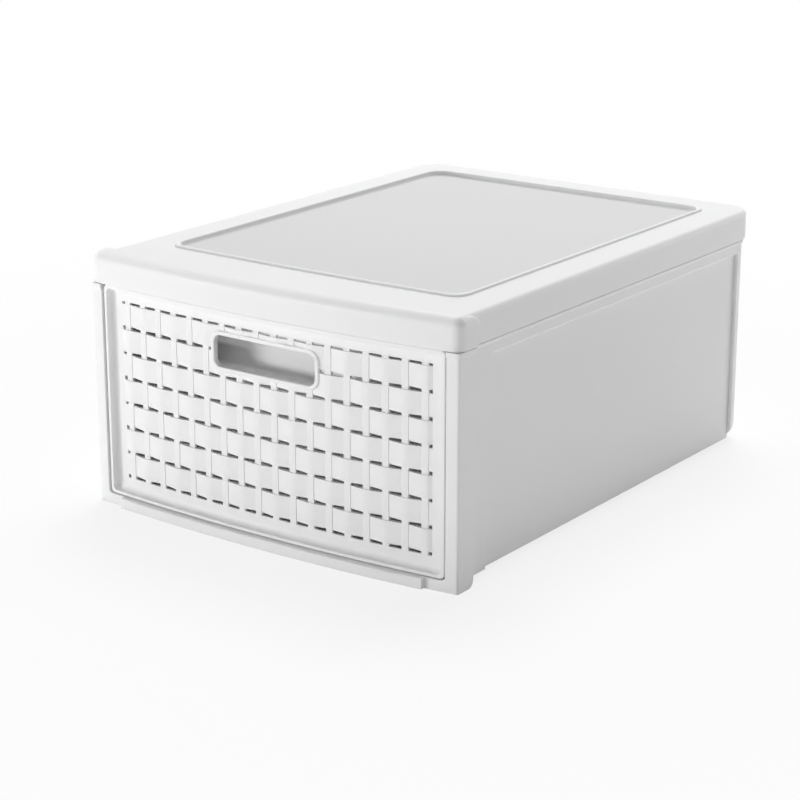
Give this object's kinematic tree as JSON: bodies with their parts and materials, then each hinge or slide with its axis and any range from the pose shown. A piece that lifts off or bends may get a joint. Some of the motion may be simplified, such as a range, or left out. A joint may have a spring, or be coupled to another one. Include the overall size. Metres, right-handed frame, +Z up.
{
  "type": "drawer box",
  "caption": "Stackable white plastic storage box with a bowed, woven-look drawer front, a hand hole, a front frame on feet and a lipped tray on its cover.",
  "frame": {"origin": "on the floor, under the middle of the box's overall width and depth", "axes": "+X to the right seen from the front, +Y to the back, +Z up; the drawer front faces -Y"},
  "size_m": [0.34, 0.45, 0.2],
  "materials": {
    "case_plastic": "satin",
    "drawer_plastic": "satin"
  },
  "bodies": {
    "case": {"front_fascia": "case_plastic", "top_cover": "case_plastic", "front_frame": "case_plastic", "left_side_panel": "case_plastic", "right_side_panel": "case_plastic", "back_panel": "case_plastic", "base_panel": "case_plastic"},
    "drawer": {"drawer_front": "drawer_plastic", "drawer_bin": "drawer_plastic"}
  },
  "joints": [
    {"name": "drawer_slide", "type": "slide", "parent": "case", "child": "drawer", "axis": [0, -1, 0], "range_m": [0, 0.3]}
  ]
}
